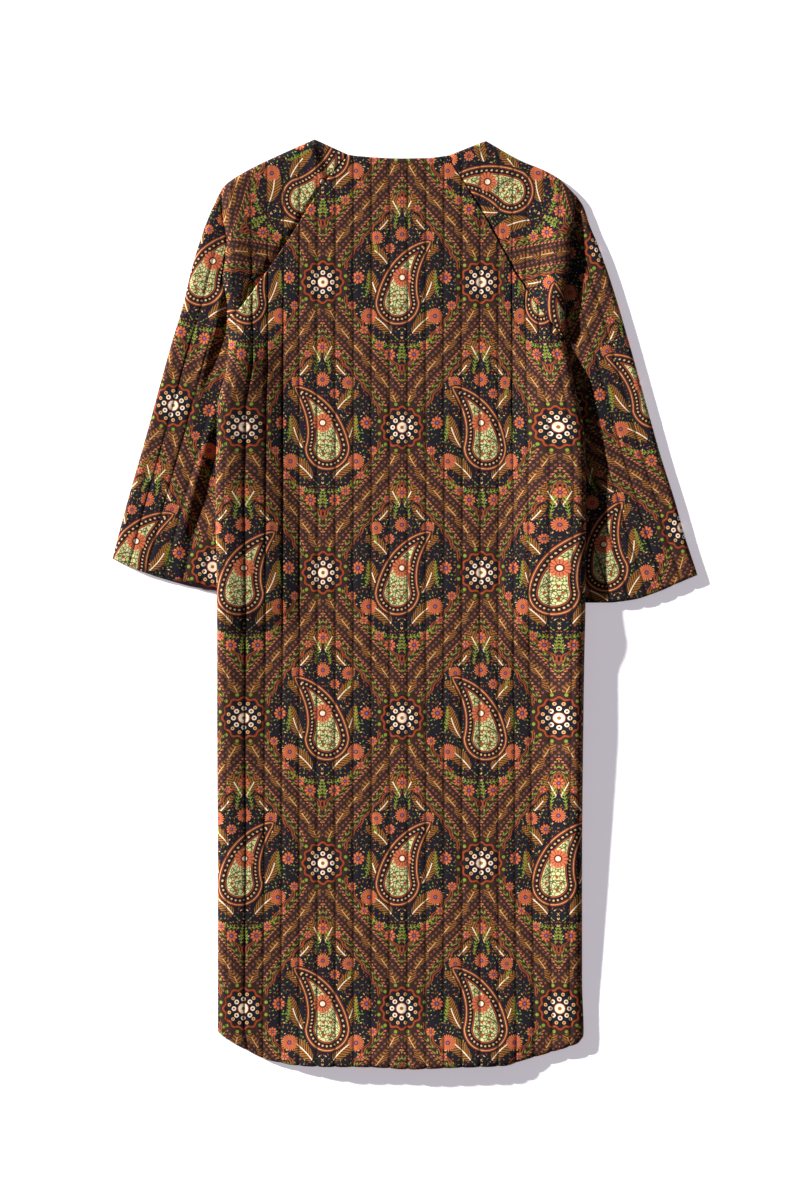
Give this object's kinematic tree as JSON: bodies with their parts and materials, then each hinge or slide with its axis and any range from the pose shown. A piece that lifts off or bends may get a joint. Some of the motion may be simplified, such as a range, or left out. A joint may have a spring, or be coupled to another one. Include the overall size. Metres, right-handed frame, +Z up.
{
  "type": "long quilted gown",
  "caption": "Collarless long gown of printed quilted cloth, laid flat with its back up, with raglan sleeves that reach below the elbow and rest partly under its sides.",
  "frame": {"origin": "on the surface the gown lies on, under the middle of its box", "axes": "+Z up from the surface through the gown, +Y from the hem towards the neck, +X towards the wearer's right sleeve"},
  "size_m": [0.76, 1.2059, 0.0241],
  "materials": {
    "printed_quilt": "matt woven cotton, printed and quilted",
    "printed_quilt_front": "matt woven cotton, printed and padded",
    "printed_quilt_sleeves": "matt woven cotton, printed and quilted"
  },
  "bodies": {
    "root": {"back_panel": "printed_quilt", "front_panel": "printed_quilt_front", "sleeve_left": "printed_quilt_sleeves", "sleeve_right": "printed_quilt_sleeves"}
  },
  "joints": []
}
